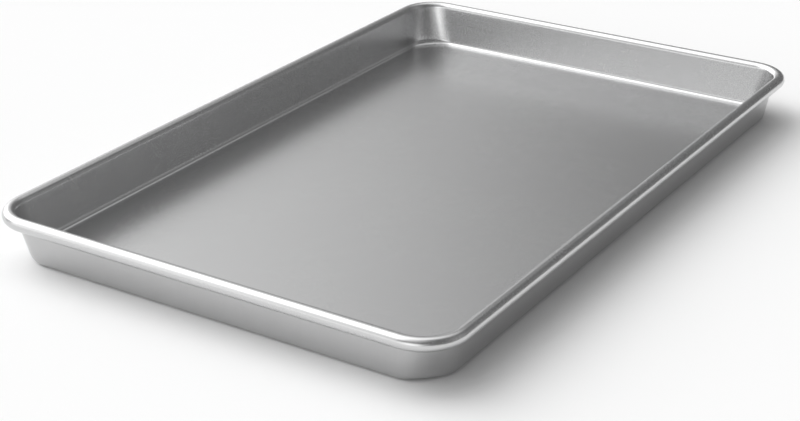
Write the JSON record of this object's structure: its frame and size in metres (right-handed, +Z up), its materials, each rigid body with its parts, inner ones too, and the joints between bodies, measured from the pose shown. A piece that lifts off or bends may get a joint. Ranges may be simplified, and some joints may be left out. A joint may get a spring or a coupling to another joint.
{
  "type": "jelly roll pan",
  "caption": "Shallow oblong baking pan of one metal sheet with upright walls, rounded corners and a wired rim, for thin cakes that are rolled up.",
  "frame": {"origin": "centre of the pan's flat underside", "axes": "+Y along the pan's length, +X across its width, +Z up out of the open top"},
  "size_m": [0.27, 0.421, 0.0275],
  "materials": {
    "pan_sheet": "satin",
    "wire_steel": "drawn, zinc grey"
  },
  "bodies": {
    "root": {"pan_shell": "pan_sheet", "rim_wire": "wire_steel"}
  },
  "joints": []
}
